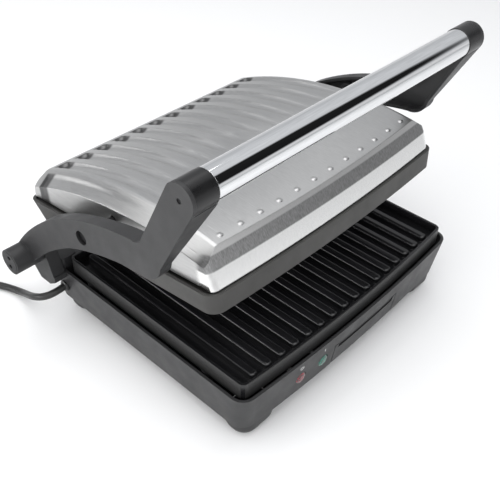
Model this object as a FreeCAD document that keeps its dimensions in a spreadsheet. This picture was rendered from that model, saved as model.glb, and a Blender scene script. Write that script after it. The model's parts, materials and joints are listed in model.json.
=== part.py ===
"""Panini press: a contact grill with a ribbed plate below and above, two curved arms and a tube handle.

Frame: X to the right of someone facing the front, Y to the back, Z up, millimetres.
The origin is on the table, under the middle of the lower grill plate.
"""
import FreeCAD
import Part
import Sketcher
import math
import os
from FreeCAD import Placement, Rotation, Vector

DIMENSIONS = [
    # lower plate and base
    ("plate_half", 150), ("plate_front", -117.3), ("plate_rear", 117.5), ("plate_sag", 6.2),
    ("plate_top", 76), ("plate_depth", 17), ("plate_floor", 9.5), ("plate_wall", 2.6),
    ("plate_corner", 7), ("rib_count", 16), ("rib_pitch", 17.3), ("rib_width", 8.6), ("rib_tall", 6),
    ("rib_inset", 9), ("base_half", 157.5), ("base_front", -124), ("base_rear", 142), ("base_sag", 6),
    ("base_lip", 63), ("base_low", 20), ("base_draft", 5.2), ("base_wall", 2.8),
    ("base_corner", 14), ("base_rear_corner", 8), ("rib_round", 2.6),
    ("deck_front", 121.5), ("leg_wide", 50), ("leg_deep", 37), ("foot_thick", 3), ("foot_radius", 11),
    ("cover_thick", 2.2), ("post_across", 145.8), ("lug_inner", 157.8), ("lug_outer", 171),
    # hinges, in the plane of the arms
    ("hinge_back", 136.5), ("hinge_up", 89), ("hinge_radius", 13), ("pin_radius", 4),
    ("running_gap", 0.05), ("pivot_back", 35.7), ("pivot_up", 165.7), ("lid_tilt", 7),
    # arms and handle
    ("arm_outer", 184), ("arm_inner", 172.5), ("arm_skin", 3), ("boss_outer", 201),
    ("leg_lean", 28.1), ("handle_back", -87), ("handle_up", 266), ("tube_radius", 13.3), ("tube_half", 159),
    ("tube_wall", 1.2), ("collar_radius", 13.9), ("core_radius", 5),
    # lid, in the lid's own frame: origin on the pivot axis
    ("cover_half", 153.4), ("cover_front", -118), ("cover_rear", 128), ("cover_low", -21),
    ("crease_half", 150.5), ("crest_half", 135.6), ("arch_radius", 420), ("arch_crest", 23),
    ("arch_back", -10), ("sheet", 1), ("groove_pitch", 22.4), ("groove_count", 12), ("groove_round", 9.5),
    ("trim_half", 155.8), ("trim_front", -121), ("trim_rear", 129.5), ("trim_low", -41.3),
    ("trim_top", -22), ("trim_wall", 3), ("upper_front", -117), ("upper_rear", 103),
    ("upper_half", 148), ("upper_low", -43.8),
    # drip tray and lights
    ("tray_left", -37), ("tray_right", 62), ("tray_top", 47), ("tray_gap", 1), ("tray_deep", 118),
    ("lens_radius", 6.3), ("lens_up", 39.5), ("red_lens", -83), ("green_lens", -53),
    # mains cord
    ("cord_radius", 3.75), ("coil_radius", 41), ("coil_across", -247), ("coil_back", 246),
]

doc = FreeCAD.newDocument("PaniniPress")
sheet = doc.addObject("Spreadsheet::Sheet", "dims")
for row, (alias, value) in enumerate(DIMENSIONS, start=1):
    sheet.set(f"A{row}", alias)
    sheet.set(f"B{row}", str(value))
    sheet.setAlias(f"B{row}", alias)
doc.recompute()


class Size:
    """A length that knows its value now and the sheet expression it comes from."""

    def __init__(self, value, text):
        self.value = float(value)
        self.text = text

    def _join(self, other, sign, value):
        return Size(value, f"({self.text} {sign} {other.text})")

    def __add__(self, other):
        other = size(other)
        return self._join(other, "+", self.value + other.value)

    def __sub__(self, other):
        other = size(other)
        return self._join(other, "-", self.value - other.value)

    def __mul__(self, factor):
        return Size(self.value * factor, f"({self.text} * {factor})")

    def __neg__(self):
        return self * -1


def size(number):
    return number if isinstance(number, Size) else Size(number, f"{number:g}")


def dim(alias):
    return Size(float(sheet.get(alias)), f"dims.{alias}")


def val(alias):
    return float(sheet.get(alias))


PLATE_LOW = val("plate_top") - val("plate_depth")
FLANGE_LOW = val("upper_low") + val("plate_depth") + 0.1
FLANGE_THICK = 2.5
GLAND_AT = (124.4, 37.2)
CORD_ROUTE = [(-156.4, 124.4, 37.2), (-169.5, 124.4, 35.8), (-179, 131.5, 32.5), (-181.5, 145, 26),
              (-178.5, 160, 16.5), (-176.5, 176, 8.2), (-178.5, 192, 4.2), (-184.5, 207, 3.9),
              (-192.5, 221, 3.9), (-199, 234, 3.9), (-202, 247, 3.9)]
TAIL_ROUTE = [(-291.7, 246, 11.4), (-291.9, 234, 11.9), (-289.5, 222, 14), (-286, 210.5, 17.3),
              (-284.5, 200, 18.6)]


parts = []


def keep(obj, label):
    """Register a finished sub-part; its label is the name of its node."""
    obj.Label = label
    parts.append(obj)
    return obj


# ---------------------------------------------------------------- helpers for bodies with sketches

def new_body(label):
    return keep(doc.addObject("PartDesign::Body", label), label)


def new_sketch(body, role, up=0):
    """Sketch on one of the body's own origin planes, lifted along its normal by up."""
    sketch = body.newObject("Sketcher::SketchObject", "Sketch")
    plane = next(item for item in body.Origin.OriginFeatures if item.Role == role)
    sketch.AttachmentSupport = (plane, [""])
    sketch.MapMode = "FlatFace"
    sketch.AttachmentOffset = Placement(Vector(0, 0, size(up).value), Rotation())
    if isinstance(up, Size):
        sketch.setExpression("AttachmentOffset.Base.z", up.text)
    return sketch


def pin_point(sketch, edge, end, spot):
    """Hold one end of an edge at a place given by two sizes."""
    for kind, axis, place in (("DistanceX", -2, size(spot[0])), ("DistanceY", -1, size(spot[1]))):
        if place.value == 0:
            sketch.addConstraint(Sketcher.Constraint("PointOnObject", edge, end, axis))
            continue
        index = sketch.addConstraint(Sketcher.Constraint(kind, -1, 1, edge, end, place.value))
        sketch.setExpression(f"Constraints[{index}]", place.text)


def flat(spot):
    return Vector(size(spot[0]).value, size(spot[1]).value, 0)


def draw_polygon(sketch, spots):
    first = len(sketch.Geometry)
    count = len(spots)
    for i, spot in enumerate(spots):
        sketch.addGeometry(Part.LineSegment(flat(spot), flat(spots[(i + 1) % count])), False)
    for i, spot in enumerate(spots):
        sketch.addConstraint(Sketcher.Constraint("Coincident", first + i, 2, first + (i + 1) % count, 1))
        pin_point(sketch, first + i, 1, spot)


def draw_circle(sketch, spot, radius):
    edge = sketch.addGeometry(Part.Circle(flat(spot), Vector(0, 0, 1), size(radius).value), False)
    pin_point(sketch, edge, 3, spot)
    index = sketch.addConstraint(Sketcher.Constraint("Radius", edge, size(radius).value))
    sketch.setExpression(f"Constraints[{index}]", size(radius).text)


def draw_bowed(sketch, half, front, rear, sag):
    """Rectangle whose front side bows forward by sag at its middle."""
    corners = [(-half, rear), (-half, front), (half, front), (half, rear)]
    nose = Vector(0, front.value - sag.value, 0)
    edges = [Part.LineSegment(flat(corners[0]), flat(corners[1])),
             Part.Arc(flat(corners[1]), nose, flat(corners[2])),
             Part.LineSegment(flat(corners[2]), flat(corners[3])),
             Part.LineSegment(flat(corners[3]), flat(corners[0]))]
    for edge in edges:
        sketch.addGeometry(edge, False)
    sketch.addConstraint(Sketcher.Constraint("Coincident", 0, 2, 1, 1))
    sketch.addConstraint(Sketcher.Constraint("Coincident", 1, 2, 2, 1))
    sketch.addConstraint(Sketcher.Constraint("Coincident", 2, 2, 3, 1))
    sketch.addConstraint(Sketcher.Constraint("Coincident", 3, 2, 0, 1))
    for edge, corner in ((0, 0), (2, 2), (3, 3)):
        pin_point(sketch, edge, 1, corners[corner])
    pin_point(sketch, 0, 2, corners[1])
    radius = (half.value ** 2 + sag.value ** 2) / (2 * sag.value)
    index = sketch.addConstraint(Sketcher.Constraint("Radius", 1, radius))
    sketch.setExpression(f"Constraints[{index}]",
                         f"({half.text} ^ 2 + {sag.text} ^ 2) / (2 mm * {sag.value:g})")


def draw_slot(sketch, across, near, far, radius):
    """Bar along Y with round ends whose centres are at near and far."""
    x, low, high, r = across.value, near.value, far.value, radius.value
    first = len(sketch.Geometry)
    corners = [Vector(x - r, high, 0), Vector(x - r, low, 0), Vector(x + r, low, 0), Vector(x + r, high, 0)]
    sketch.addGeometry(Part.LineSegment(corners[0], corners[1]), False)
    sketch.addGeometry(Part.Arc(corners[1], Vector(x, low - r, 0), corners[2]), False)
    sketch.addGeometry(Part.LineSegment(corners[2], corners[3]), False)
    sketch.addGeometry(Part.Arc(corners[3], Vector(x, high + r, 0), corners[0]), False)
    for i in range(4):
        following = first + (i + 1) % 4
        sketch.addConstraint(Sketcher.Constraint("Coincident", first + i, 2, following, 1))
    for arc, reach in ((1, near), (3, far)):
        pin_point(sketch, first + arc, 3, (across, reach))
        index = sketch.addConstraint(Sketcher.Constraint("Radius", first + arc, r))
        sketch.setExpression(f"Constraints[{index}]", radius.text)
        for end in (1, 2):
            hold = Sketcher.Constraint("DistanceY", -1, 1, first + arc, end, reach.value)
            index = sketch.addConstraint(hold)
            sketch.setExpression(f"Constraints[{index}]", reach.text)


def add_pad(body, sketch, length, taper=0):
    pad = body.newObject("PartDesign::Pad", "Pad")
    pad.Profile = sketch
    pad.Length = size(length).value
    pad.setExpression("Length", size(length).text)
    pad.TaperAngle = taper
    doc.recompute()
    return pad


def add_pocket(body, sketch, length, reverse=False):
    before = body.Shape.Volume
    pocket = body.newObject("PartDesign::Pocket", "Pocket")
    pocket.Profile = sketch
    pocket.Length = size(length).value
    pocket.setExpression("Length", size(length).text)
    pocket.Reversed = reverse
    doc.recompute()
    if body.Shape.Volume > before - 0.5:
        raise ValueError(f"pocket of {body.Label} cuts nothing")
    return pocket


def add_fillet(body, radius, wanted):
    """Round the edges of the body's latest feature for which wanted(edge) is true."""
    tip = body.Tip
    names = [f"Edge{i}" for i, edge in enumerate(tip.Shape.Edges, start=1) if wanted(edge)]
    fillet = body.newObject("PartDesign::Fillet", "Fillet")
    fillet.Base = (tip, names)
    fillet.Radius = size(radius).value
    fillet.setExpression("Radius", size(radius).text)
    doc.recompute()
    return fillet


def add_walls(body, wall):
    """Hollow the body's block out to a ring of walls, open above and below."""
    tip = body.Tip
    names = [f"Face{i}" for i, face in enumerate(tip.Shape.Faces, start=1)
             if abs(face.normalAt(0, 0).z) > 0.99]
    ring = body.newObject("PartDesign::Thickness", "Thickness")
    ring.Base = (tip, names)
    ring.Value = size(wall).value
    ring.setExpression("Value", size(wall).text)
    ring.Reversed = True
    ring.Join = 0
    doc.recompute()
    return ring


def upright(edge):
    ends = edge.Vertexes
    if len(ends) != 2:
        return False
    span = ends[1].Point - ends[0].Point
    return abs(span.z) > 1 and math.hypot(span.x, span.y) < 0.01


def level(height):
    """Test for edges that lie flat at a height."""
    def test(edge):
        box = edge.BoundBox
        return abs(box.ZMin - height) < 0.01 and abs(box.ZMax - height) < 0.01
    return test


def turned(label, profile, place):
    """Round piece: (radius, height) corners turned about Z, then placed."""
    body = new_body(label)
    sketch = new_sketch(body, "XZ_Plane")
    draw_polygon(sketch, profile)
    turn = body.newObject("PartDesign::Revolution", "Revolution")
    turn.Profile = sketch
    turn.ReferenceAxis = (sketch, ["V_Axis"])
    turn.Angle = 360
    body.Placement = place
    doc.recompute()
    return body


def along_x(side, x, y, z):
    """Placement that sends local +Z outward along X on one side, from x outward."""
    return Placement(Vector(side * x, y, z), Rotation(Vector(0, 1, 0), 90 * side))


# ---------------------------------------------------------------- helpers for shapes made directly

def set_shape(label, shape, place=None):
    feature = doc.addObject("Part::Feature", label)
    feature.Shape = shape
    if place is not None:
        feature.Placement = place
    return keep(feature, label)


def bowed_wire(half, front, rear, sag, z, front_round, rear_round):
    """Closed plan outline with a bowed front and four round corners."""
    big = (half ** 2 + sag ** 2) / (2 * sag)
    centre_y = front - sag + big
    reach = big - front_round
    round_x = half - front_round
    round_y = centre_y - math.sqrt(reach ** 2 - round_x ** 2)
    centre = Vector(0, centre_y, z)

    def corner(side):
        middle = Vector(side * round_x, round_y, z)
        outward = (middle - centre).normalize()
        start = Vector(side * half, round_y, z)
        finish = middle + outward * front_round
        bulge = (outward + Vector(side, 0, 0)).normalize()
        return start, middle + bulge * front_round, finish

    left, right = corner(-1), corner(1)
    diagonal = rear_round * (1 - math.sqrt(0.5))
    rear_left = [Vector(-half + rear_round, rear, z), Vector(-half + diagonal, rear - diagonal, z),
                 Vector(-half, rear - rear_round, z)]
    rear_right = [Vector(-spot.x, spot.y, z) for spot in rear_left]
    edges = [Part.Arc(*left).toShape(),
             Part.Arc(left[2], Vector(0, front - sag, z), right[2]).toShape(),
             Part.Arc(right[2], right[1], right[0]).toShape(),
             Part.LineSegment(right[0], rear_right[2]).toShape(),
             Part.Arc(rear_right[2], rear_right[1], rear_right[0]).toShape(),
             Part.LineSegment(rear_right[0], rear_left[0]).toShape(),
             Part.Arc(*rear_left).toShape(),
             Part.LineSegment(rear_left[2], left[0]).toShape()]
    return Part.Wire(edges)


def loft(wires):
    return Part.makeLoft(wires, True, True)


def block(x0, x1, y0, y1, z0, z1):
    return Part.makeBox(x1 - x0, y1 - y0, z1 - z0, Vector(x0, y0, z0))


def rod(radius, start, finish):
    span = Vector(*finish) - Vector(*start)
    return Part.makeCylinder(radius, span.Length, Vector(*start), span)


def rounded_box(x0, x1, y0, y1, z0, z1, radius):
    box = block(x0, x1, y0, y1, z0, z1)
    return box.makeFillet(radius, [edge for edge in box.Edges if upright(edge)])


# ---------------------------------------------------------------- base

def base_wire(z, inset):
    """Plan of the base housing at height z, moved inward by inset."""
    rise = (z - val("base_low")) / (val("base_lip") - val("base_low"))
    draw_in = val("base_draft") * (1 - rise) + inset
    return bowed_wire(val("base_half") - draw_in, val("base_front") + draw_in, val("base_rear") - draw_in,
                      val("base_sag"), z, val("base_corner") - inset, val("base_rear_corner") - inset)


def base_shell(inset):
    return loft([base_wire(val("base_low"), inset), base_wire(val("base_lip"), inset)])


def leg(side, end, inset):
    """Bulbous corner leg: a rounded block that narrows toward the table."""
    x_far = side * (val("base_half") - 6)
    x_near = side * (val("base_half") - 6 - val("leg_wide"))
    y_far = val("base_front") + 2 if end < 0 else val("base_rear") - 4
    y_near = y_far - end * val("leg_deep")
    wires = []
    for z, shrink in ((val("base_low") + 26, 0), (val("foot_thick") + inset, 3)):
        pull = shrink + inset
        xs = sorted((x_far - side * pull, x_near + side * pull))
        ys = sorted((y_far - end * pull, y_near + end * pull))
        wires.append(rounded_wire(xs, ys, 14.5 - inset, z))
    block_leg = loft(wires)
    bottom = [edge for edge in block_leg.Edges if level(val("foot_thick") + inset)(edge)]
    return block_leg.makeFillet(10 - inset, bottom)


def rounded_wire(xs, ys, radius, z):
    """Rectangle in plan with round corners."""
    points = []
    for x, y, turn in ((xs[0], ys[0], 180), (xs[1], ys[0], 270), (xs[1], ys[1], 0), (xs[0], ys[1], 90)):
        middle = Vector(x + (radius if x == xs[0] else -radius), y + (radius if y == ys[0] else -radius), z)
        arc = [middle + Vector(math.cos(math.radians(turn + a)), math.sin(math.radians(turn + a)), 0) * radius
               for a in (0, 45, 90)]
        points.append(arc)
    edges = []
    for i, arc in enumerate(points):
        edges.append(Part.Arc(*arc).toShape())
        edges.append(Part.LineSegment(arc[2], points[(i + 1) % 4][0]).toShape())
    return Part.Wire(edges)


def hinge_lug(side):
    """Upright lug beside the rear of the base, with the hinge pin's bore."""
    back, up, radius = val("hinge_back"), val("hinge_up"), val("hinge_radius")
    inner, outer = val("lug_inner"), val("lug_outer")
    root = val("base_lip") - 13
    foot = [(back - 22, root + 7), (back - 12, root), (back + 3, root), (back + radius, root + 12)]
    outline = Part.makePolygon([Vector(inner, y, z) for y, z in
                                [(back - radius, up)] + foot + [(back + radius, up), (back - radius, up)]])
    lug = Part.Face(outline).extrude(Vector(outer - inner, 0, 0))
    lug = lug.fuse(rod(radius, (inner, back, up), (outer, back, up)))
    root_outline = foot + [(back + radius, val("base_lip")), (back - 22, val("base_lip")), foot[0]]
    root_face = Part.Face(Part.makePolygon([Vector(inner - 9, y, z) for y, z in root_outline]))
    lug = lug.fuse(root_face.extrude(Vector(outer - inner + 9, 0, 0)))
    lug = lug.cut(rod(val("pin_radius"), (inner - 1, back, up), (outer + 1, back, up)))
    return lug if side > 0 else lug.mirror(Vector(0, 0, 0), Vector(1, 0, 0))


def cover_posts():
    """Places of the posts that carry the plate and take the bottom cover's screws."""
    return [(side * val("post_across"), y) for side in (-1, 1) for y in (-70, 88)]


def make_base_housing():
    wall, low, lip = val("base_wall"), val("base_low"), val("base_lip")
    outer = base_shell(0)
    for side in (-1, 1):
        for end in (-1, 1):
            outer = outer.fuse(leg(side, end, 0))
        corner = rounded_box(139, 157.4, 119.5, 141, lip - 1, lip + 12, 4)
        outer = outer.fuse(corner if side > 0 else corner.mirror(Vector(0, 0, 0), Vector(1, 0, 0)))
    cavity = loft([base_wire(low - 0.1, wall), base_wire(lip, wall)])
    deck = block(-200, 200, val("deck_front"), 200, lip - wall, lip + 1)
    front_wall = block(-200, 200, val("deck_front"), val("deck_front") + wall, lip - 16, lip + 1)
    housing = outer.cut(cavity.cut(deck).cut(front_wall))
    for side in (-1, 1):
        for end in (-1, 1):
            housing = housing.cut(leg(side, end, wall + 0.4))
    tray_hole = block(val("tray_left"), val("tray_right"), -150, -112, 0, val("tray_top"))
    housing = housing.cut(tray_hole)
    for across in (val("red_lens"), val("green_lens")):
        housing = housing.cut(rod(val("lens_radius") + 0.1, (across, -140, val("lens_up")),
                                  (across, -112, val("lens_up"))))
    housing = housing.cut(rod(5.2, (-170, *GLAND_AT), (-140, *GLAND_AT)))
    for x, y in cover_posts():
        post = rod(5, (x, y, low + val("cover_thick") + 0.4), (x, y, PLATE_LOW - 0.05))
        housing = housing.fuse(post).cut(rod(1.65, (x, y, low), (x, y, low + 16.4)))
    set_shape("base_housing", housing.removeSplitter())


def make_hinge_lugs():
    """Lugs bonded to the housing's sides, trimmed to its outline."""
    for name, side in (("left", -1), ("right", 1)):
        lug = hinge_lug(side).cut(base_shell(-0.02))
        set_shape(f"{name}_hinge_lug", max(lug.Solids, key=lambda piece: piece.Volume))


def make_bottom_cover():
    low = val("base_low")
    inset = val("base_wall") + 0.4
    plan = base_wire(low, inset)
    cover = Part.Face(plan).extrude(Vector(0, 0, val("cover_thick")))
    for side in (-1, 1):
        for end in (-1, 1):
            cover = cover.cut(leg(side, end, -0.5))
    tray_hole = block(val("tray_left") - 1, val("tray_right") + 1, -150, -112, 0, val("tray_top"))
    cover = cover.cut(tray_hole)
    for x, y in cover_posts():
        cover = cover.cut(rod(1.8, (x, y, low - 1), (x, y, low + 5)))
    for row in range(6):
        y = 10 + row * 15
        for side in (-1, 1):
            vent = rounded_box(side * 60 - 24, side * 60 + 24, y - 2, y + 2, low - 1, low + 5, 1.9)
            cover = cover.cut(vent)
    widest = max(cover.Solids, key=lambda piece: piece.Volume)
    set_shape("base_bottom_cover", widest.removeSplitter())


def make_feet():
    pads = []
    for side in (-1, 1):
        for end in (-1, 1):
            pad = doc.addObject("Part::Cylinder", "Foot")
            pad.setExpression("Radius", "dims.foot_radius")
            pad.setExpression("Height", "dims.foot_thick")
            x_far = side * (val("base_half") - 6)
            y_far = val("base_front") + 2 if end < 0 else val("base_rear") - 4
            pad.Placement = Placement(Vector(x_far - side * val("leg_wide") / 2,
                                             y_far - end * val("leg_deep") / 2, 0), Rotation())
            pads.append(pad)
    feet = doc.addObject("Part::Compound", "Feet")
    feet.Links = pads
    keep(feet, "rubber_feet")


def make_plate(label, half, front, rear, sag, inset_front, place, drain):
    """Cast plate: a shallow pan with a hollow underside and long round-ended ribs."""
    body = new_body(label)
    depth, floor, wall = dim("plate_depth"), dim("plate_floor"), dim("plate_wall")
    sketch = new_sketch(body, "XY_Plane", -depth)
    draw_bowed(sketch, half, front, rear, sag)
    add_pad(body, sketch, depth)
    add_fillet(body, dim("plate_corner"), upright)
    add_walls(body, wall)
    sketch = new_sketch(body, "XY_Plane", -floor - 3)
    overlap = wall - 0.4
    draw_bowed(sketch, half - overlap, front + overlap, rear - overlap, sag)
    add_pad(body, sketch, 3)
    count = int(val("rib_count"))
    radius = dim("rib_width") * 0.5
    for k in range(count):
        across = dim("rib_pitch") * (k - (count - 1) / 2)
        bow = sag.value * (1 - (across.value / half.value) ** 2)
        sketch = new_sketch(body, "XY_Plane", -floor)
        inset = inset_front + radius.value
        draw_slot(sketch, across, front + (inset - bow), rear - inset, radius)
        add_pad(body, sketch, dim("rib_tall"))
    top = val("rib_tall") - val("plate_floor")
    add_fillet(body, dim("rib_round"), level(top))
    if drain:
        sketch = new_sketch(body, "XY_Plane", -floor)
        draw_circle(sketch, (8.65, front + 6.2), 2.6)
        add_pocket(body, sketch, 4)
    body.Placement = place
    doc.recompute()


def make_lower_plate():
    make_plate("lower_grill_plate", dim("plate_half"), dim("plate_front"), dim("plate_rear"),
               dim("plate_sag"), 6, Placement(Vector(0, 0, val("plate_top")), Rotation()), True)


def tube_path(points, radius):
    """Wire of straight runs joined by equal tangent arcs."""
    edges = []
    start = points[0]
    for before, here, after in zip(points, points[1:], points[2:]):
        arrive = (here - before).normalize()
        leave = (after - here).normalize()
        half_turn = arrive.getAngle(leave) / 2
        cut_back = radius * math.tan(half_turn)
        enter, exit_ = here - arrive * cut_back, here + leave * cut_back
        inward = (leave - arrive).normalize()
        middle = here + inward * (radius / math.cos(half_turn) - radius)
        edges.append(Part.LineSegment(start, enter).toShape())
        edges.append(Part.Arc(enter, middle, exit_).toShape())
        start = exit_
    edges.append(Part.LineSegment(start, points[-1]).toShape())
    return Part.Wire(edges)


def sweep_round(wire, radius):
    start = wire.Edges[0]
    ring = Part.Wire(Part.makeCircle(radius, start.Vertexes[0].Point, start.tangentAt(start.FirstParameter)))
    return wire.makePipeShell([ring], True, False)


def heater(label, z, front, place=None):
    """Sheathed rod heater bent into an M, with both cold ends at the back."""
    spots = [(-20, 92), (-120, 92), (-120, front), (-42, front), (-42, 58), (42, 58), (42, front),
             (120, front), (120, 92), (20, 92)]
    wire = tube_path([Vector(x, y, z) for x, y in spots], 14)
    set_shape(label, sweep_round(wire, 3.2), place)


def reflector(label, half, z, front, rear, rise, place=None):
    """Shallow aluminium pan behind a heater."""
    sheet_thick = 0.6
    pan = rounded_box(-half, half, front, rear, z, z + rise, 8)
    hollow = rounded_box(-half + sheet_thick, half - sheet_thick, front + sheet_thick, rear - sheet_thick,
                         z + sheet_thick, z + rise + 1, 7.4)
    set_shape(label, pan.cut(hollow), place)


def make_base_internals():
    under = val("plate_top") - val("plate_depth")
    heater("lower_heating_element", under + 0.2, -88)
    reflector("lower_heat_reflector", 136, under - 8, -98, 100, 4.5)
    thermostat = doc.addObject("Part::Box", "ThermostatBody")
    for prop, length in (("Length", 26), ("Width", 16), ("Height", 10)):
        setattr(thermostat, prop, length)
    thermostat.Placement = Placement(Vector(-13, 40, under - 19), Rotation())
    stem = doc.addObject("Part::Cylinder", "ThermostatStem")
    stem.Radius = 3
    stem.Height = 4
    stem.Placement = Placement(Vector(0, 48, under - 20), Rotation())
    fused = doc.addObject("Part::Fuse", "Thermostat")
    fused.Base = thermostat
    fused.Tool = stem
    keep(fused, "thermostat")
    turned("thermal_fuse", [(0, 0), (2, 0), (2, 18), (0, 18)],
           Placement(Vector(30, 44, under - 14), Rotation(Vector(0, 1, 0), 90)))
    terminal = new_body("terminal_block")
    sketch = new_sketch(terminal, "XY_Plane")
    draw_polygon(sketch, [(-20, -8), (20, -8), (20, 8), (-20, 8)])
    add_pad(terminal, sketch, 11)
    sketch = new_sketch(terminal, "XY_Plane", 11)
    for across in (-12, 0.001, 12):
        draw_circle(sketch, (across, 0), 2.4)
    add_pocket(terminal, sketch, 6)
    terminal.Placement = Placement(Vector(-95, 104, val("base_low") + val("cover_thick") + 0.3), Rotation())


def screw_group(label, spots, height, place=None):
    """Pan-head screws that share a node, heads down."""
    solids = []
    for x, y, z in spots:
        head = Part.makeCylinder(3.2, 1.8, Vector(x, y, z))
        shank = Part.makeCylinder(1.6, height, Vector(x, y, z + 1.8))
        slot = block(x - 2.4, x + 2.4, y - 0.35, y + 0.35, z - 0.1, z + 0.7)
        slot = slot.fuse(block(x - 0.35, x + 0.35, y - 2.4, y + 2.4, z - 0.1, z + 0.7))
        solids.append(head.fuse(shank).cut(slot).removeSplitter())
    set_shape(label, Part.makeCompound(solids), place)


def make_tray():
    """Drip tray: an open box behind a front panel that continues the housing's face."""
    gap = val("tray_gap")
    left, right = val("tray_left") + gap, val("tray_right") - gap
    low, top = val("base_low") + 1, val("tray_top") - gap
    skin = base_shell(0).cut(base_shell(3.2))
    panel = skin.common(block(left, right, -140, -100, low, top))
    grip = base_shell(0).cut(base_shell(1.2)).common(block(left + 5, right - 5, -140, -100, top - 6, top + 1))
    panel = panel.cut(grip)
    floor_z = val("base_low") + val("cover_thick") + 0.6
    rear = val("base_front") + val("tray_deep")
    box = block(left + 4, right - 4, val("base_front") - 6, rear, floor_z, floor_z + 16).common(base_shell(1))
    hollow = block(left + 6, right - 6, val("base_front") + 1, rear - 2, floor_z + 2, floor_z + 20)
    tray = panel.fuse(box).cut(hollow)
    set_shape("drip_tray", tray.removeSplitter())


def make_lights():
    """Two round lenses through the front wall, each with a small lamp behind it."""
    lamps = []
    for label, alias in (("red_indicator_lens", "red_lens"), ("green_indicator_lens", "green_lens")):
        x = val(alias)
        face_y = front_face(x, val("lens_up"))
        radius = dim("lens_radius")
        turned(label, [(0, 0), (radius, 0), (radius, 4), (radius - 1.2, 5), (radius * 0.5, 5.8), (0, 6)],
               Placement(Vector(x, face_y + 4.4, val("lens_up")), Rotation(Vector(1, 0, 0), 90)))
        lamps.append(rod(2.5, (x, face_y + 6, val("lens_up")), (x, face_y + 22, val("lens_up"))))
    set_shape("indicator_lamps", Part.makeCompound(lamps))


def front_face(x, z):
    """Y of the housing's bowed and drafted front face."""
    rise = (z - val("base_low")) / (val("base_lip") - val("base_low"))
    draft = val("base_draft") * (1 - rise)
    half = val("base_half") - draft
    big = (half ** 2 + val("base_sag") ** 2) / (2 * val("base_sag"))
    return val("base_front") + draft - val("base_sag") + big - math.sqrt(big ** 2 - x ** 2)


# ---------------------------------------------------------------- arms and handle

def arm_outline(x):
    """Side view of an arm as a wire in the plane at x, from the hinge up to the handle."""
    hinge = Vector(x, val("hinge_back"), val("hinge_up"))
    grip = Vector(x, val("handle_back"), val("handle_up"))
    reach = val("collar_radius")

    def at(y, z):
        return Vector(x, y, z)

    back_top = at(hinge.y + 8.5, hinge.z + 9.8)
    notch = at(-31, 202.2)
    shoulder = at(79.6, 160.9)
    lean = math.radians(val("leg_lean"))
    leg_dir = Vector(0, -math.sin(lean), math.cos(lean))
    leg_side = Vector(0, leg_dir.z, -leg_dir.y)
    rear_foot = at(-43.5, 210)
    rear_top = grip + leg_side * reach
    front_top = grip - leg_side * reach
    front_low = front_top - leg_dir * (front_top.z - 192) * (1 / leg_dir.z)
    under_front = at(-42, 174)
    belly = at(55.3, 143.7)
    low_back = at(hinge.y - 10, hinge.z - 4)
    tip = hinge + Vector(0, 6.5, -11.2)
    edges = [Part.Arc(back_top, at(113.7, 133.2), shoulder).toShape(),
             Part.Arc(shoulder, at(33.3, 184.7), notch).toShape(),
             Part.Arc(notch, at(-39.5, 204.2), rear_foot).toShape(),
             Part.LineSegment(rear_foot, rear_top).toShape(),
             Part.Arc(rear_top, grip + leg_dir * reach, front_top).toShape(),
             Part.LineSegment(front_top, front_low).toShape(),
             Part.Arc(front_low, at(-56, 178.5), under_front).toShape(),
             Part.Arc(under_front, at(11.7, 161.4), belly).toShape(),
             Part.Arc(belly, at(94.3, 115.9), low_back).toShape(),
             Part.LineSegment(low_back, tip).toShape(),
             Part.Arc(tip, hinge + Vector(0, 12.9, -1), back_top).toShape()]
    return Part.Wire(edges)


def make_arm(label, side):
    outer, inner, skin = val("arm_outer"), val("arm_inner"), val("arm_skin")
    hinge = (val("hinge_back"), val("hinge_up"))
    pivot = (val("pivot_back"), val("pivot_up"))
    grip = (val("handle_back"), val("handle_up"))
    far_in = val("tube_half")
    wire = arm_outline(far_in)
    solid = Part.Face(wire).extrude(Vector(outer - far_in, 0, 0))
    inner_wire = wire.makeOffset2D(-skin)
    hollow = Part.Face(inner_wire).extrude(Vector(outer - skin - far_in, 0, 0))
    solid = solid.cut(hollow)
    slope = Part.Face(Part.makePolygon([Vector(far_in - 1, -200, 0), Vector(inner, -200, 0),
                                        Vector(inner, -200, 192), Vector(far_in - 1, -200, 258),
                                        Vector(far_in - 1, -200, 0)])).extrude(Vector(0, 400, 0))
    solid = solid.cut(slope)
    collar_room = rod(val("collar_radius") + 0.15, (far_in - 2, *grip), (outer - skin, *grip))
    solid = solid.cut(collar_room)
    solid = solid.fuse(rod(val("hinge_radius"), (inner, *hinge), (val("boss_outer"), *hinge)))
    solid = solid.fuse(rod(9.5, (inner, *pivot), (outer - skin + 0.5, *pivot)))
    solid = solid.cut(rod(val("pin_radius") + val("running_gap"), (inner - 1, *hinge), (210, *hinge)))
    solid = solid.cut(rod(10.6, (outer + 4, *hinge), (210, *hinge)))
    solid = solid.cut(rod(val("pin_radius") + 0.02, (inner - 1, *pivot), (210, *pivot)))
    solid = solid.cut(rod(6.8, (outer - 4.5, *pivot), (210, *pivot)))
    solid = solid.cut(rod(2.2, (outer - skin - 1, *grip), (210, *grip)))
    solid = solid.removeSplitter()
    set_shape(label, solid if side > 0 else solid.mirror(Vector(0, 0, 0), Vector(1, 0, 0)))


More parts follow.
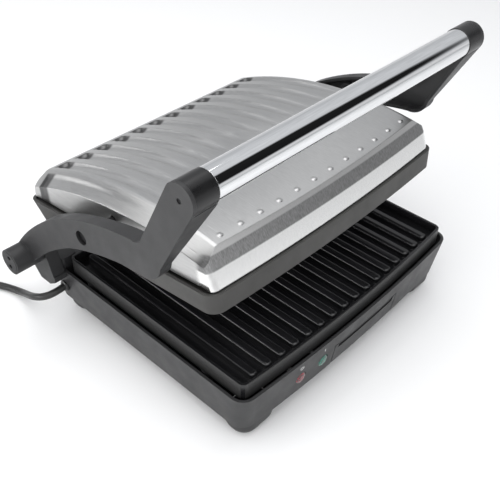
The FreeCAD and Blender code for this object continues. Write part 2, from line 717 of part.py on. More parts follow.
def make_arms():
    hinge = (val("hinge_back"), val("hinge_up"))
    pivot = (val("pivot_back"), val("pivot_up"))
    grip = (val("handle_back"), val("handle_up"))
    outer, skin = dim("arm_outer"), dim("arm_skin")
    bolt_tip = 124
    head_seat = outer - 4.4 - bolt_tip
    pin_head = outer + 4.5 - dim("lug_inner")
    for name, side in (("left", -1), ("right", 1)):
        make_arm(f"{name}_arm", side)
        turned(f"{name}_hinge_pin",
               [(0, 0), (dim("pin_radius"), 0), (dim("pin_radius"), pin_head), (8, pin_head),
                (8, pin_head + 2), (0, pin_head + 2)],
               along_x(side, val("lug_inner"), *hinge))
        cap = turned(f"{name}_hinge_cap", [(0, 0), (10.5, 0), (10.5, 4), (0, 4)],
                     along_x(side, val("boss_outer") - 3.6, *hinge))
        sketch = new_sketch(cap, "XY_Plane", 4)
        for across in (-5, 5):
            draw_circle(sketch, (across, 0.001), 2.4)
        add_pocket(cap, sketch, 2)
        turned(f"{name}_pivot_bolt",
               [(0, 0), (dim("pin_radius"), 0), (dim("pin_radius"), head_seat), (6.5, head_seat),
                (6.5, head_seat + 2), (0, head_seat + 2)],
               along_x(side, bolt_tip, *pivot))
        radius, bore = dim("collar_radius"), dim("core_radius") + 0.05
        plug = dim("tube_radius") - dim("tube_wall") - 0.1
        far = outer - skin - dim("tube_half") - 0.05
        turned(f"{name}_handle_collar",
               [(bore, -9), (plug, -9), (plug, 0.05), (radius - 0.8, 0.05), (radius, 0.8), (radius, far),
                (bore, far)],
               along_x(side, val("tube_half"), *grip))
    radius, half = dim("tube_radius"), dim("tube_half")
    bore = radius - dim("tube_wall")
    turned("handle_bar", [(bore, -half), (radius, -half), (radius, half), (bore, half)],
           Placement(Vector(0, *grip), Rotation(Vector(0, 1, 0), 90)))
    half_core = outer - skin - 0.1
    bore, depth = 1.6, 14
    turned("handle_core",
           [(0, -half_core + depth), (bore, -half_core + depth), (bore, -half_core),
            (dim("core_radius"), -half_core), (dim("core_radius"), half_core), (bore, half_core),
            (bore, half_core - depth), (0, half_core - depth)],
           Placement(Vector(0, *grip), Rotation(Vector(0, 1, 0), 90)))
    screws = []
    for side in (-1, 1):
        head = rod(2.1, (side * 181, *grip), (side * 183.4, *grip))
        shank = rod(bore - 0.05, (side * 168, *grip), (side * 181, *grip))
        screws.append(head.fuse(shank).removeSplitter())
    set_shape("handle_screws", Part.makeCompound(screws))


# ---------------------------------------------------------------- lid, drawn about its pivot axis

def lid_place():
    return Placement(Vector(0, val("pivot_back"), val("pivot_up")),
                     Rotation(Vector(1, 0, 0), -val("lid_tilt")))


def arch_sweep(section, turn_centre, first, last):
    """Turn a section drawn above the lid's centre line about an axis parallel to X."""
    axis_spot = Vector(0, *turn_centre)
    face = Part.Face(Part.makePolygon([Vector(x, turn_centre[0], z) for x, z in section + section[:1]]))
    face.rotate(axis_spot, Vector(1, 0, 0), first)
    return face.revolve(axis_spot, Vector(1, 0, 0), last - first)


def cover_solid(inset):
    """Outside of the lid cover moved inward by inset: sloped walls under a shallow arched top."""
    levels = [(val("cover_low"), 0, 0), (-5, 4.2, 4), (6, 9, 10.5), (30, 19, 24)]
    wires = []
    for z, front_in, rear_in in levels:
        wires.append(bowed_wire(val("cover_half") - inset, val("cover_front") + front_in + inset,
                                val("cover_rear") - rear_in - inset, 6, z, 10, 10))
    walls = loft(wires)
    radius, crest = val("arch_radius"), val("arch_crest") - inset
    crest_half = val("crest_half") - inset * 0.7
    crease_half = val("crease_half") - inset
    section = [(-crease_half - 1, -60), (crease_half + 1, -60), (crease_half, crest - 11.2),
               (crest_half, crest - 0.6), (crest_half - 3, crest), (-crest_half + 3, crest),
               (-crest_half, crest - 0.6), (-crease_half, crest - 11.2)]
    arch = arch_sweep(section, (val("arch_back"), val("arch_crest") - radius), -24, 24)
    return walls.common(arch)


def groove_tool(x, grow):
    """Round-bottomed groove along the arch, deepest at the back and running out toward the front."""
    radius = val("groove_round") + grow
    lift = val("arch_radius") - 0.8 + val("groove_round")
    axis_spot = Vector(x, val("arch_back") - 9.4, val("arch_crest") - val("arch_radius"))
    middle = axis_spot + Vector(0, 0, lift)
    face = Part.Face(Part.Wire(Part.makeCircle(radius, middle, Vector(0, 1, 0))))
    ball = Part.makeSphere(radius, middle)
    for shape in (face, ball):
        shape.rotate(axis_spot, Vector(1, 0, 0), -17)
    return face.revolve(axis_spot, Vector(1, 0, 0), 24).fuse(ball)


def make_lid_cover():
    shell_in = val("sheet")
    pitch, count = val("groove_pitch"), int(val("groove_count"))
    across = [pitch * (k - (count - 1) / 2) for k in range(count)]
    outer = cover_solid(0).cut([groove_tool(x, 0) for x in across])
    inner = cover_solid(shell_in).cut([groove_tool(x, shell_in) for x in across])
    inner = inner.cut(block(-200, 200, -200, 200, 40, 60))
    floor_cut = block(-151.9, 151.9, -112, 120, val("cover_low") - 1, val("cover_low") + 0.5)
    cover = outer.cut(inner.fuse(floor_cut))
    for side in (-1, 1):
        cover = cover.cut(rod(4.8, (side * 125, 0, 0), (side * 160, 0, 0)))
    for x in across:
        y = -100 - 4.2 * (1 - (x / 150) ** 2)
        top = arch_height(y)
        dome = Part.makeSphere(5, Vector(x, y, top - 4.2))
        cover = cover.fuse(dome.common(Part.makeCylinder(5, 3, Vector(x, y, top - 0.5))))
    set_shape("lid_cover", cover, lid_place())


def arch_height(y):
    """Height of the cover's crest line at depth y, in the lid's frame."""
    radius = val("arch_radius")
    return val("arch_crest") - radius + math.sqrt(radius ** 2 - (y - val("arch_back")) ** 2)


def make_lid_trim():
    """Dark frame under the cover: a wall that leans in toward the plate, and an inner flange."""
    top, low, wall = val("trim_top"), val("trim_low"), val("trim_wall")
    half, front, rear = val("trim_half"), val("trim_front"), val("trim_rear")
    outer = loft([bowed_wire(half - 1.4, front + 0.6, rear - 9, 6, low, 12, 14),
                  bowed_wire(half, front, rear, 6, top, 12, 10)])
    inner = loft([bowed_wire(half - 1.4 - wall, front + 0.6 + wall, rear - 9 - wall, 6, low - 0.01, 9, 11),
                  bowed_wire(half - wall, front + wall, rear - wall, 6, top + 0.01, 9, 7)])
    flange = Part.Face(bowed_wire(half - 2.2, front + 2.2, rear - 4, 6, FLANGE_LOW, 9.5, 8))
    flange = flange.extrude(Vector(0, 0, FLANGE_THICK))
    window = Part.Face(bowed_wire(half - 12, front + 12, rear - 30, 6, FLANGE_LOW - 1, 6, 6))
    window = window.extrude(Vector(0, 0, FLANGE_THICK + 2))
    trim = outer.cut(inner).fuse(flange.common(outer)).cut(window)
    set_shape("lid_trim", trim.removeSplitter(), lid_place())


def make_upper_plate():
    flip = Placement(Vector(0, 0, val("upper_low")), Rotation(Vector(0, 1, 0), 180))
    make_plate("upper_grill_plate", dim("upper_half"), dim("upper_front"), dim("upper_rear"),
               dim("plate_sag"), 6, lid_place().multiply(flip), False)


def make_lid_internals():
    above = val("upper_low") + val("plate_depth")
    heater("upper_heating_element", above - 0.2, -84, lid_place())
    reflector("upper_heat_reflector", 125.5, above + 3.5, -98, 96, 1.2, lid_place())
    for name, side in (("left", -1), ("right", 1)):
        seat = FLANGE_LOW + FLANGE_THICK + 0.05
        plate = block(127, 130, -16, 16, seat, 4)
        foot = block(127, 150, -16, 16, seat, seat + 2.5)
        bracket = plate.fuse(foot).fuse(rod(7.5, (126, 0, 0), (134, 0, 0)))
        bracket = bracket.cut(rod(val("pin_radius") + val("running_gap"), (120, 0, 0), (140, 0, 0)))
        bracket = bracket.removeSplitter()
        if side < 0:
            bracket = bracket.mirror(Vector(0, 0, 0), Vector(1, 0, 0))
        set_shape(f"{name}_pivot_bracket", bracket, lid_place())
    set_shape("upper_thermal_fuse", rod(2, (40, 30, above + 8), (60, 30, above + 8)), lid_place())
    set_shape("upper_wiring_block", block(-16, 16, 76, 90, above + 5, above + 15), lid_place())


# ---------------------------------------------------------------- mains cord

def cord_tube(label, route):
    """Tube along a route: straight runs joined by the largest tangent arcs that fit."""
    spots = [Vector(*spot) for spot in route]
    radius = val("cord_radius")
    edges = []
    start = spots[0]
    for before, here, after in zip(spots, spots[1:], spots[2:]):
        arrive, leave = here - before, after - here
        shorter = min(arrive.Length, leave.Length)
        half_turn = arrive.getAngle(leave) / 2
        bend = 0.45 * shorter / math.tan(half_turn)
        arrive, leave = arrive.normalize(), leave.normalize()
        enter, finish = here - arrive * 0.45 * shorter, here + leave * 0.45 * shorter
        middle = here + (leave - arrive).normalize() * (bend / math.cos(half_turn) - bend)
        print(f"{label} bend radius {bend:.1f} mm, turn {math.degrees(2 * half_turn):.1f} degrees")
        edges.append(Part.LineSegment(start, enter).toShape())
        edges.append(Part.Arc(enter, middle, finish).toShape())
        start = finish
    edges.append(Part.LineSegment(start, spots[-1]).toShape())
    wire = Part.Wire(edges)
    tube = sweep_round(wire, radius)
    expected = math.pi * radius ** 2 * wire.Length
    print(f"{label} length {wire.Length:.1f} mm, volume ratio {tube.Volume / expected:.4f}")
    set_shape(label, tube)


def make_cord():
    radius = val("cord_radius")
    cord_tube("power_cord", CORD_ROUTE)
    cord_tube("cord_tail", TAIL_ROUTE)
    turned("cord_gland",
           [(0, 0), (4.2, 0), (7, 6), (7, 8.4), (5.1, 8.5), (5.1, 13.2), (6.2, 13.3), (5.9, 14.6),
            (4.9, 15.4), (0, 15.4)],
           Placement(Vector(-142, *GLAND_AT), Rotation(Vector(0, 1, 0), -90)))
    ring_radius = val("coil_radius")
    x, y = val("coil_across"), val("coil_back")
    height = 4 * radius
    ring = Part.makeCylinder(ring_radius + 2 * radius, height, Vector(x, y, 0)).cut(
        Part.makeCylinder(ring_radius - 2 * radius, height, Vector(x, y, 0)))
    set_shape("cord_coil", ring)
    near, far = y + ring_radius - 2 * radius, y + ring_radius + 2 * radius
    tie = block(x - 4, x + 4, near - 1.6, far + 1.2, 0, height + 1.2)
    set_shape("cord_tie", tie.cut(block(x - 5, x + 5, near - 0.3, far + 0.05, -1, height + 0.05)))


def make_plug():
    """Straight mains plug with two round pins, lying beside the coil on its side."""
    length = 50
    end = Vector(*TAIL_ROUTE[-1])
    turned("plug_body",
           [(0, 0), (18.5, 0), (18.5, 12), (16, 16), (12, 30), (8, 36), (4.7, length), (0, length)],
           Placement(end - Vector(0, length, 0), Rotation(Vector(1, 0, 0), -90)))
    face_y = end.y - length
    pins = [rod(2.4, (end.x + offset, face_y, end.z), (end.x + offset, face_y - 19, end.z))
            for offset in (-9.5, 9.5)]
    set_shape("plug_pins", Part.makeCompound(pins))


def main():
    make_base_housing()
    make_hinge_lugs()
    make_bottom_cover()
    make_feet()
    make_lower_plate()
    make_base_internals()
    make_tray()
    make_lights()
    screw_group("bottom_cover_screws", [(x, y, val("base_low") - 1.8) for x, y in cover_posts()], 15)
    make_arms()
    make_lid_cover()
    make_lid_trim()
    make_upper_plate()
    make_lid_internals()
    make_cord()
    make_plug()
    doc.recompute()
    for item in doc.Objects:
        if "Invalid" in item.State or "Error" in item.State:
            raise ValueError(f"{item.Name} ({item.Label}) failed: {item.State}")
    os.makedirs("parts", exist_ok=True)
    for item in parts:
        shape = item.Shape
        if shape.isNull() or not shape.isValid():
            raise ValueError(f"{item.Label} has no valid shape")
        shape.exportStep(f"parts/{item.Label}.step")
        box = shape.BoundBox
        spans = f"x {box.XMin:.1f} {box.XMax:.1f} y {box.YMin:.1f} {box.YMax:.1f}"
        print(f"{item.Label}: {len(shape.Solids)} solids, {shape.Volume:.0f} mm3, {spans}"
              f" z {box.ZMin:.1f} {box.ZMax:.1f}")


main()
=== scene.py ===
"""Panini press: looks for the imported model. Metres, in the row's frame: X right, Y back, Z up."""
import bpy
import json
import math
from mathutils import Matrix, Quaternion, Vector
from mathutils.bvhtree import BVHTree


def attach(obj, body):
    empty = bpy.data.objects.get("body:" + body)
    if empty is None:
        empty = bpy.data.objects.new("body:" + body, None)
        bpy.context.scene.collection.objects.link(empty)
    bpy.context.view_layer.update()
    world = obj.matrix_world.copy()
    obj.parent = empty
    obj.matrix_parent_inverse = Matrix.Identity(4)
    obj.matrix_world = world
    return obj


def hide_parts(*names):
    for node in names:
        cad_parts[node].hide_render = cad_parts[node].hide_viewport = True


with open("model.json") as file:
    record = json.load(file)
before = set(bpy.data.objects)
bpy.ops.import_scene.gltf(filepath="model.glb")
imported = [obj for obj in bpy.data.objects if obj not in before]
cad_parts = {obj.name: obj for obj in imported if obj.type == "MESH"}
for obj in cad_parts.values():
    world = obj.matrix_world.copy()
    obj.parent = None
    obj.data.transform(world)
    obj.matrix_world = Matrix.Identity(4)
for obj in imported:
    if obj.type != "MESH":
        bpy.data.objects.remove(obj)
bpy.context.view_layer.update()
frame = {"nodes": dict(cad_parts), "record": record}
NODES = frame["nodes"]

MM = 0.001
CORD_RADIUS = 3.75 * MM
LID_TILT = math.radians(7)
LID_PIVOT = Vector((0, 0.0357, 0.1657))
PLATE_HALF, PLATE_FRONT, PLATE_REAR, PLATE_SAG = 0.150, -0.1173, 0.1175, 0.0062
GROOVE_PITCH = 0.0224
SKY_STRENGTH = 0.95
# unlit parts of the studio: direction, cosine where the dark starts and where it is full, strength
DARK_CORNERS = [((-0.46, 0.50, 0.73), 0.80, 0.93, 0.30), ((0.57, -0.63, 0.53), 0.90, 0.95, 0.02)]


# ---------------------------------------------------------------- camera, floor and light

def make_camera():
    data = bpy.data.cameras.new("camera")
    data.lens = 54.0
    data.sensor_width = 36
    data.clip_start = 0.01
    camera = bpy.data.objects.new("camera", data)
    bpy.context.collection.objects.link(camera)
    look = Vector((0.5719, 0.5135, -0.6398))
    turn = look.to_track_quat("-Z", "Y") @ Quaternion((0, 0, 1), math.radians(1.75))
    camera.matrix_world = Matrix.Translation((-0.4450, -0.3848, 0.5541)) @ turn.to_matrix().to_4x4()
    bpy.context.scene.camera = camera


def area_light(name, place, target, width, height, watts):
    data = bpy.data.lights.new(name, "AREA")
    data.shape = "RECTANGLE"
    data.size = width
    data.size_y = height
    data.energy = watts
    light = bpy.data.objects.new(name, data)
    light.location = place
    light.rotation_mode = "QUATERNION"
    light.rotation_quaternion = (Vector(target) - Vector(place)).to_track_quat("-Z", "Y")
    bpy.context.collection.objects.link(light)


def make_studio():
    scene = bpy.context.scene
    scene.view_settings.view_transform = "Standard"
    world = bpy.data.worlds.new("studio")
    scene.world = world
    world.use_nodes = True
    tree = world.node_tree
    tree.nodes.clear()
    direction = tree.nodes.new("ShaderNodeTexCoord")
    split = tree.nodes.new("ShaderNodeSeparateXYZ")
    ramp = tree.nodes.new("ShaderNodeValToRGB")
    ramp.color_ramp.elements[0].position = 0.0
    ramp.color_ramp.elements[0].color = (0.80, 0.80, 0.81, 1)
    ramp.color_ramp.elements[1].position = 1.0
    ramp.color_ramp.elements[1].color = (0.82, 0.83, 0.85, 1)
    ramp.color_ramp.elements.new(0.3).color = (0.55, 0.56, 0.58, 1)
    strength = SKY_STRENGTH
    for corner, edge, core, level in DARK_CORNERS:
        toward = tree.nodes.new("ShaderNodeVectorMath")
        toward.operation = "DOT_PRODUCT"
        toward.inputs[1].default_value = corner
        fade = tree.nodes.new("ShaderNodeMapRange")
        fade.interpolation_type = "SMOOTHSTEP"
        fade.inputs["From Min"].default_value = edge
        fade.inputs["From Max"].default_value = core
        fade.inputs["To Max"].default_value = level
        tree.links.new(direction.outputs["Generated"], toward.inputs[0])
        tree.links.new(toward.outputs["Value"], fade.inputs["Value"])
        if isinstance(strength, float):
            fade.inputs["To Min"].default_value = strength
        else:
            tree.links.new(strength, fade.inputs["To Min"])
        strength = fade.outputs["Result"]
    sky = tree.nodes.new("ShaderNodeBackground")
    out = tree.nodes.new("ShaderNodeOutputWorld")
    tree.links.new(direction.outputs["Generated"], split.inputs[0])
    tree.links.new(split.outputs["Z"], ramp.inputs[0])
    tree.links.new(ramp.outputs["Color"], sky.inputs["Color"])
    tree.links.new(strength, sky.inputs["Strength"])
    tree.links.new(sky.outputs[0], out.inputs["Surface"])
    area_light("softbox_top", (-0.45, 0.15, 1.5), (-0.25, 0.02, 0.1), 2.2, 2.0, 23)
    area_light("softbox_front", (-0.5, -1.5, 1.0), (0, 0, 0.1), 2.6, 1.5, 11)
    area_light("softbox_left", (-1.6, -0.3, 0.7), (0, 0, 0.1), 1.6, 1.0, 4)
    area_light("strip_low", (-1.4, 0.85, 0.33), (0, 0, 0.08), 1.1, 0.3, 9)


def make_floor():
    bpy.ops.mesh.primitive_plane_add(size=12, location=(0, 0, -0.0002))
    floor = bpy.context.object
    floor.name = "floor"
    skin = Skin("floor_white")
    skin.set("Base Color", (0.93, 0.93, 0.93, 1))
    skin.set("Roughness", 0.7)
    skin.bump(skin.noise(3.0, 2).outputs["Fac"], 0.05, 0.0005)
    floor.data.materials.append(skin.material)


# ---------------------------------------------------------------- materials

class Skin:
    """A node material with a Principled shader and the few nodes that every finish here shares."""

    def __init__(self, name):
        self.material = bpy.data.materials.new(name)
        self.material.use_nodes = True
        self.tree = self.material.node_tree
        self.shader = self.tree.nodes["Principled BSDF"]
        self.coords = self.new("ShaderNodeTexCoord").outputs["Object"]

    def new(self, kind, **settings):
        node = self.tree.nodes.new(kind)
        for key, value in settings.items():
            setattr(node, key, value)
        return node

    def link(self, source, target):
        self.tree.links.new(source, target)

    def set(self, socket, value):
        self.shader.inputs[socket].default_value = value

    def feed(self, socket, source):
        self.link(source, self.shader.inputs[socket])

    def noise(self, scale, detail=3, stretch=None, coords=None):
        """Noise in object space, scale in repeats a metre, stretched along the given axes."""
        source = coords or self.coords
        if stretch:
            mapping = self.new("ShaderNodeMapping")
            mapping.inputs["Scale"].default_value = stretch
            self.link(source, mapping.inputs["Vector"])
            source = mapping.outputs["Vector"]
        node = self.new("ShaderNodeTexNoise")
        node.inputs["Scale"].default_value = scale
        node.inputs["Detail"].default_value = detail
        self.link(source, node.inputs["Vector"])
        return node

    def ramp(self, source, low, high, start=0.3, end=0.7):
        """Grey or colour ramp from low to high."""
        node = self.new("ShaderNodeValToRGB")
        elements = node.color_ramp.elements
        for element, place, value in ((elements[0], start, low), (elements[1], end, high)):
            element.position = place
            element.color = value if isinstance(value, tuple) else (value, value, value, 1)
        self.link(source, node.inputs[0])
        return node.outputs["Color"]

    def math(self, operation, first, second=0.0, third=0.0):
        node = self.new("ShaderNodeMath", operation=operation)
        for i, value in enumerate((first, second, third)):
            if isinstance(value, (int, float)):
                node.inputs[i].default_value = value
            else:
                self.link(value, node.inputs[i])
        return node.outputs[0]

    def smooth(self, source, low, high):
        """0 below low, 1 above high, smooth between."""
        node = self.new("ShaderNodeMapRange", interpolation_type="SMOOTHSTEP")
        node.inputs["From Min"].default_value = low
        node.inputs["From Max"].default_value = high
        self.link(source, node.inputs["Value"])
        return node.outputs["Result"]

    def mix(self, factor, first, second):
        node = self.new("ShaderNodeMix", data_type="RGBA")
        self.link(factor, node.inputs["Factor"])
        for socket, value in (("A", first), ("B", second)):
            target = [item for item in node.inputs if item.name == socket and item.type == "RGBA"][0]
            if isinstance(value, tuple):
                target.default_value = value
            else:
                self.link(value, target)
        return [item for item in node.outputs if item.type == "RGBA"][0]

    def split(self, coords=None):
        node = self.new("ShaderNodeSeparateXYZ")
        self.link(coords or self.coords, node.inputs[0])
        return node.outputs

    def worn_edge(self, radius):
        """Normal that rounds sharp edges by radius metres."""
        bevel = self.new("ShaderNodeBevel", samples=4)
        bevel.inputs["Radius"].default_value = radius
        return bevel.outputs["Normal"]

    def relief(self, height, strength, distance, normal=None):
        """Normal of a height field laid over another normal."""
        node = self.new("ShaderNodeBump")
        node.inputs["Strength"].default_value = strength
        node.inputs["Distance"].default_value = distance
        self.link(height, node.inputs["Height"])
        if normal:
            self.link(normal, node.inputs["Normal"])
        return node.outputs["Normal"]

    def bump(self, height, strength, distance, edge=0.0):
        """Height field into the shader's normal, with edges rounded by edge metres if asked."""
        normal = self.worn_edge(edge) if edge else None
        self.feed("Normal", self.relief(height, strength, distance, normal))


def shade(value, spread):
    return value * (1 - spread), value * (1 + spread)


def tone(colour, factor):
    return tuple(channel * factor for channel in colour) + (1,)


def moulded(name, colour, roughness, grain=0.25, edge=0.0007):
    """Moulded plastic: fine spark-erosion grain, faint cloudiness and softly worn edges."""
    skin = Skin(name)
    cloud = skin.noise(14, 4)
    skin.feed("Base Color", skin.ramp(cloud.outputs["Fac"], tone(colour, 0.82), tone(colour, 1.2)))
    rub = skin.noise(60, 5)
    low, high = shade(roughness, 0.14)
    skin.feed("Roughness", skin.ramp(rub.outputs["Fac"], low, high))
    skin.set("Specular IOR Level", 0.45)
    skin.bump(skin.noise(1700, 2).outputs["Fac"], grain, 0.00012, edge)
    return skin.material


def coated_plate(name):
    """Cast plate: glossy non-stick inside the rim, duller cast wall outside it."""
    skin = Skin(name)
    x, y, z = skin.split()
    across = skin.math("ABSOLUTE", x)
    fraction = skin.math("DIVIDE", across, PLATE_HALF)
    bow = skin.math("MULTIPLY_ADD", skin.math("MULTIPLY", fraction, fraction), -PLATE_SAG, PLATE_SAG)
    ahead = skin.math("SUBTRACT", skin.math("MULTIPLY", y, -1.0), bow)
    side_wall = skin.smooth(across, PLATE_HALF - 0.0009, PLATE_HALF - 0.0004)
    front_wall = skin.smooth(ahead, -PLATE_FRONT - 0.0012, -PLATE_FRONT - 0.0006)
    rear_wall = skin.smooth(y, PLATE_REAR - 0.0009, PLATE_REAR - 0.0004)
    wall = skin.math("MAXIMUM", skin.math("MAXIMUM", side_wall, front_wall), rear_wall)
    speckle = skin.noise(2600, 2)
    coating = (0.006, 0.006, 0.007, 1), (0.016, 0.016, 0.017, 1)
    inside = skin.ramp(speckle.outputs["Fac"], *coating, 0.35, 0.75)
    outside = skin.ramp(skin.noise(900, 3).outputs["Fac"], 0.018, 0.034)
    skin.feed("Base Color", skin.mix(wall, inside, outside))
    gloss = skin.ramp(skin.noise(45, 4).outputs["Fac"], 0.17, 0.27)
    skin.feed("Roughness", skin.mix(wall, gloss, (0.42, 0.42, 0.42, 1)))
    skin.bump(speckle.outputs["Fac"], 0.16, 0.0001, 0.0008)
    return skin.material


def lid_coords(skin):
    """Object coordinates turned into the lid's own level frame about its pivot."""
    mapping = skin.new("ShaderNodeMapping")
    turn = Matrix.Rotation(LID_TILT, 3, "X")
    mapping.inputs["Rotation"].default_value = (LID_TILT, 0, 0)
    mapping.inputs["Location"].default_value = turn @ -LID_PIVOT
    skin.link(skin.coords, mapping.inputs["Vector"])
    return mapping.outputs["Vector"]


# where the lid's finishes, its painted shade and reflection, its groove relief and the painted shade at
# the groove ends change, as (start, end) of each fade, in its own level frame
TOP_FRONT = (-0.106, -0.099)
BAND_TOP = (-0.0062, -0.0046)
BEVEL_TOP = (0.0052, 0.0068)
GROOVE_RISE = (-0.045, 0.050)
GROOVE_REAR = (0.1135, 0.1065)
GROOVE_SIDE = (0.0025, 0.0080)
# painted shade: the dark patch at each groove's rear end, where shade falls in the recessed end
PAINTED_SHADE_START = (0.097, 0.102)
PAINTED_SHADE_REAR = (0.1155, 0.1125)
PAINTED_SHADE_SIDE = (0.0085, 0.0060)
CREASE_START = (-0.035, -0.055)
CREASE_STOP = (-0.100, -0.0965)
CREASE_SIDE = (0.0, 0.0007)


def zoned(skin, top, rear, above_bevel, above_band, bevel, band):
    """Finish of the lid: its top, the bevel in front of that, or the band below the bevel."""
    front = skin.mix(above_bevel, skin.mix(above_band, band, bevel), top)
    return skin.mix(rear, front, top)


def brushed_lid(name):
    """Stainless sheet: long satin grain on top, a dull cross-brushed bevel painted darker as shade, a
    polished front band painted lighter as a reflection, and painted shade at each groove's rear end.
    """
    skin = Skin(name)
    local = lid_coords(skin)
    x, y, z = skin.split(local)
    zones = [skin.smooth(y, *TOP_FRONT), skin.smooth(z, *BEVEL_TOP), skin.smooth(z, *BAND_TOP)]
    grain_long = skin.noise(9, 6, (260, 9, 60), local).outputs["Fac"]
    grain_cross = skin.noise(22, 5, (60, 14, 14), local).outputs["Fac"]
    top = skin.ramp(grain_long, (0.47, 0.47, 0.468, 1), (0.56, 0.56, 0.556, 1), 0.25, 0.75)
    # painted shade: the bevel's steel colour is darkened to 0.20-0.33 against about 0.5 on top; its
    # cross-brushed grain and higher roughness are real
    bevel = skin.ramp(grain_cross, (0.20, 0.20, 0.20, 1), (0.33, 0.33, 0.33, 1), 0.3, 0.7)
    # painted reflection: the front band's steel colour is lifted to 0.80-0.92; its polish and low
    # roughness are real
    band = skin.ramp(grain_cross, (0.80, 0.80, 0.79, 1), (0.92, 0.92, 0.91, 1), 0.2, 0.8)
    steel = zoned(skin, top, *zones, bevel, band)
    from_groove = skin.math("PINGPONG", skin.math("ADD", x, 20.5 * GROOVE_PITCH), 0.5 * GROOVE_PITCH)
    # painted shade: the steel turns 0.12 grey at each groove's rear end, standing in for the shade in
    # the groove's recessed end
    painted_groove_end_shade = skin.math("MULTIPLY", skin.smooth(y, *PAINTED_SHADE_START), skin.smooth(y, *PAINTED_SHADE_REAR))
    painted_groove_end_shade = skin.math("MULTIPLY", painted_groove_end_shade, skin.smooth(from_groove, *PAINTED_SHADE_SIDE))
    skin.feed("Base Color", skin.mix(painted_groove_end_shade, steel, (0.12, 0.12, 0.12, 1)))
    rough_top = skin.ramp(grain_long, 0.30, 0.40, 0.25, 0.75)
    skin.feed("Roughness", zoned(skin, rough_top, *zones, (0.42, 0.42, 0.42, 1), (0.16, 0.16, 0.16, 1)))
    skin.set("Metallic", 1.0)
    skin.set("Anisotropic", 0.35)
    ridge = skin.math("SUBTRACT", skin.smooth(from_groove, *GROOVE_SIDE), 1.0)
    behind = skin.math("MULTIPLY", skin.smooth(y, *GROOVE_RISE), skin.smooth(y, *GROOVE_REAR))
    grooves = skin.relief(skin.math("MULTIPLY", ridge, behind), 1.0, 0.0014, skin.worn_edge(0.0012))
    ahead = skin.math("MULTIPLY", skin.smooth(y, *CREASE_START), skin.smooth(y, *CREASE_STOP))
    crease = skin.math("SUBTRACT", 1.0, skin.smooth(from_groove, *CREASE_SIDE))
    crease = skin.math("MULTIPLY", skin.math("MULTIPLY", ahead, crease), 0.4)
    grain = skin.math("SUBTRACT", skin.math("MULTIPLY", grain_long, 0.25), crease)
    skin.feed("Normal", skin.relief(grain, 0.3, 0.0004, grooves))
    return skin.material


def metal(name, colour, roughness, stretch=(1, 1, 1), edge=0.0003):
    """Bare or plated metal with drawn or turned marks."""
    skin = Skin(name)
    marks = skin.noise(120, 5, stretch)
    skin.feed("Base Color", skin.ramp(marks.outputs["Fac"], tone(colour, 0.93), tone(colour, 1.05)))
    low, high = shade(roughness, 0.3)
    skin.feed("Roughness", skin.ramp(marks.outputs["Fac"], low, high))
    skin.set("Metallic", 1.0)
    skin.bump(marks.outputs["Fac"], 0.04, 0.00005, edge)
    return skin.material


def lens(name, deep, bright):
    """Coloured lamp lens: moulded facets under a clear glossy skin."""
    skin = Skin(name)
    facets = skin.new("ShaderNodeTexVoronoi", feature="F1")
    facets.inputs["Scale"].default_value = 520
    skin.link(skin.coords, facets.inputs["Vector"])
    skin.feed("Base Color", skin.ramp(facets.outputs["Distance"], bright, deep, 0.1, 0.7))
    skin.set("Roughness", 0.16)
    skin.set("Coat Weight", 0.6)
    skin.set("Coat Roughness", 0.05)
    skin.bump(facets.outputs["Distance"], 0.35, 0.0004)
    return skin.material


def rubber(name, level, roughness):
    """Soft sheath or pad: even black with a fine matte bloom."""
    skin = Skin(name)
    bloom = skin.noise(220, 4)
    skin.feed("Base Color", skin.ramp(bloom.outputs["Fac"], 0.8 * level, 1.3 * level))
    low, high = shade(roughness, 0.12)
    skin.feed("Roughness", skin.ramp(bloom.outputs["Fac"], low, high))
    skin.bump(skin.noise(2400, 2).outputs["Fac"], 0.2, 0.00006)
    return skin.material


def printed_white(name):
    skin = Skin(name)
    ink = skin.noise(3000, 3)
    skin.feed("Base Color", skin.ramp(ink.outputs["Fac"], 0.55, 0.75))
    skin.set("Roughness", 0.6)
    return skin.material


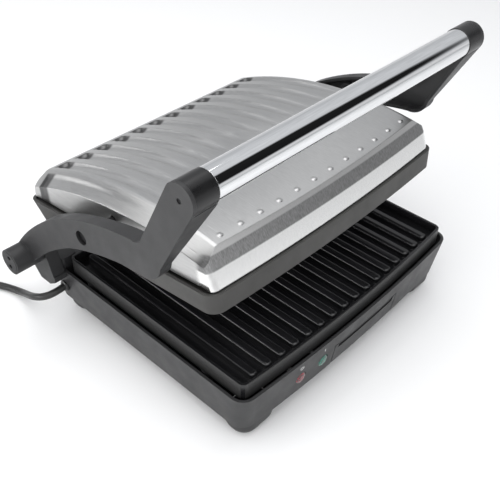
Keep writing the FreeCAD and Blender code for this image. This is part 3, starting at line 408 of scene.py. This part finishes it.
def dress_cad_nodes():
    """Give every CAD node its finish, by the record's material slot."""
    finishes = {
        "matte_black_plastic": moulded("moulded_black", (0.021, 0.021, 0.022), 0.46),
        "gloss_black_plastic": moulded("collar_black", (0.007, 0.007, 0.0075), 0.30, 0.1),
        "dark_trim_plastic": moulded("trim_grey_black", (0.040, 0.039, 0.037), 0.50),
        "coated_plate": coated_plate("non_stick"),
        "brushed_lid_steel": brushed_lid("lid_steel"),
        "chrome_tube": metal("tube_chrome", (0.82, 0.83, 0.84), 0.05, (0.4, 6, 6)),
        "steel_rod": metal("turned_steel", (0.52, 0.52, 0.52), 0.3, (8, 1, 1)),
        "plated_screw": metal("zinc_plate", (0.55, 0.55, 0.53), 0.3),
        "black_screw": metal("black_oxide", (0.020, 0.020, 0.021), 0.4),
        "heater_steel": metal("heater_sheath", (0.30, 0.27, 0.25), 0.42),
        "reflector_aluminium": metal("rolled_aluminium", (0.78, 0.78, 0.79), 0.25, (1, 12, 1)),
        "light_ceramic": rubber("ceramic_white", 0.62, 0.7),
        "red_lens": lens("red_lamp_lens", (0.055, 0.002, 0.006, 1), (0.30, 0.012, 0.03, 1)),
        "green_lens": lens("green_lamp_lens", (0.0, 0.035, 0.026, 1), (0.008, 0.20, 0.13, 1)),
        "lamp_glass": rubber("lamp_body", 0.5, 0.2),
        "black_rubber": rubber("foot_rubber", 0.02, 0.75),
        "cord_rubber": rubber("cord_sheath", 0.014, 0.42),
        "tie_plastic": moulded("tie_black", (0.03, 0.03, 0.03), 0.5),
        "plug_brass": metal("plug_pin_nickel", (0.72, 0.69, 0.58), 0.2),
    }
    for part in frame["record"]["subparts"]:
        node = NODES[part["node"]]
        for holder in node.material_slots:
            holder.material = finishes[part["material_slot"]]
    return finishes


# ---------------------------------------------------------------- mains cord

CORD_ROUTE = [(-156.4, 124.4, 37.2), (-169.5, 124.4, 35.8), (-179, 131.5, 32.5), (-181.5, 145, 26),
              (-178.5, 160, 16.5), (-176.5, 176, 8.2), (-178.5, 192, 4.2), (-184.5, 207, 3.9),
              (-192.5, 221, 3.9), (-199, 234, 3.9)]
TAIL_ROUTE = [(-291.9, 234, 11.9), (-289.5, 222, 14), (-286, 210.5, 17.3), (-284.5, 200, 18.6)]
COIL_MIDDLE = (-247, 246)
COIL_TURNS = 2.5


def ease(angle, start, end):
    """0 before start, 1 after end, smooth between."""
    part = min(max((angle - start) / (end - start), 0), 1)
    return part * part * (3 - 2 * part)


def coil_points():
    """Turns that lie two wide and two high: outer, inner, then up and out again."""
    outer, inner, low, high = 44.9, 37.2, 3.9, 11.5
    points = []
    for step in range(int(COIL_TURNS * 24) + 1):
        angle = step * 15
        inward = ease(angle, 290, 352) - ease(angle, 722, 800)
        radius = outer + (inner - outer) * inward
        height = low + (high - low) * ease(angle, 592, 652)
        turn = math.radians(angle)
        spot = (radius * math.cos(turn), radius * math.sin(turn))
        points.append((COIL_MIDDLE[0] + spot[0], COIL_MIDDLE[1] + spot[1], height))
    return points


def make_cord(sheath):
    data = bpy.data.curves.new("mains_cord", "CURVE")
    data.dimensions = "3D"
    data.bevel_depth = CORD_RADIUS
    data.bevel_resolution = 6
    data.use_fill_caps = True
    data.resolution_u = 8
    route = CORD_ROUTE + coil_points() + TAIL_ROUTE
    spline = data.splines.new("NURBS")
    spline.points.add(len(route) - 1)
    for point, spot in zip(spline.points, route):
        point.co = (*(Vector(spot) * MM), 1)
    spline.order_u = 3
    spline.use_endpoint_u = True
    cord = bpy.data.objects.new("mains_cord", data)
    bpy.context.collection.objects.link(cord)
    data.materials.append(sheath)
    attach(cord, "base")
    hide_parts("power_cord", "cord_tail", "cord_coil")


# ---------------------------------------------------------------- printed marks over the lamps

RED_MARK, GREEN_MARK = -0.0845, -0.0535
MARK_HEIGHT, MARK_RADIUS = 0.0545, 0.0021


def front_spot(tree, x, z):
    """Point on the front of the housing."""
    return tree.ray_cast(Vector((x, -0.3, z)), Vector((0, 1, 0)))[0]


def make_mark(name, outline, ink):
    data = bpy.data.curves.new(name, "CURVE")
    data.dimensions = "3D"
    data.bevel_depth = 0.00028
    data.bevel_resolution = 2
    spline = data.splines.new("POLY")
    spline.points.add(len(outline) - 1)
    for point, spot in zip(spline.points, outline):
        point.co = (*spot, 1)
    mark = bpy.data.objects.new(name, data)
    bpy.context.collection.objects.link(mark)
    data.materials.append(ink)
    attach(mark, "base")


def make_marks():
    """A power ring over the red lamp and a plain upright stroke over the green one."""
    ink = printed_white("printed_white")
    tree = BVHTree.FromObject(NODES["base_housing"], bpy.context.evaluated_depsgraph_get())

    def stroke(name, x, low, high):
        make_mark(name, [front_spot(tree, x, MARK_HEIGHT + up) for up in (low, high)], ink)

    ring = []
    for degrees in range(120, 421, 20):
        turn = math.radians(degrees)
        spot = (RED_MARK + MARK_RADIUS * math.cos(turn), MARK_HEIGHT + MARK_RADIUS * math.sin(turn))
        ring.append(front_spot(tree, *spot))
    make_mark("power_mark_ring", ring, ink)
    stroke("power_mark_stroke", RED_MARK, 0.0005, 0.0026)
    stroke("ready_mark_stroke", GREEN_MARK, -0.0018, 0.0018)


# ---------------------------------------------------------------- build

make_camera()
make_studio()
make_floor()
finishes = dress_cad_nodes()
make_cord(finishes["cord_rubber"])
make_marks()
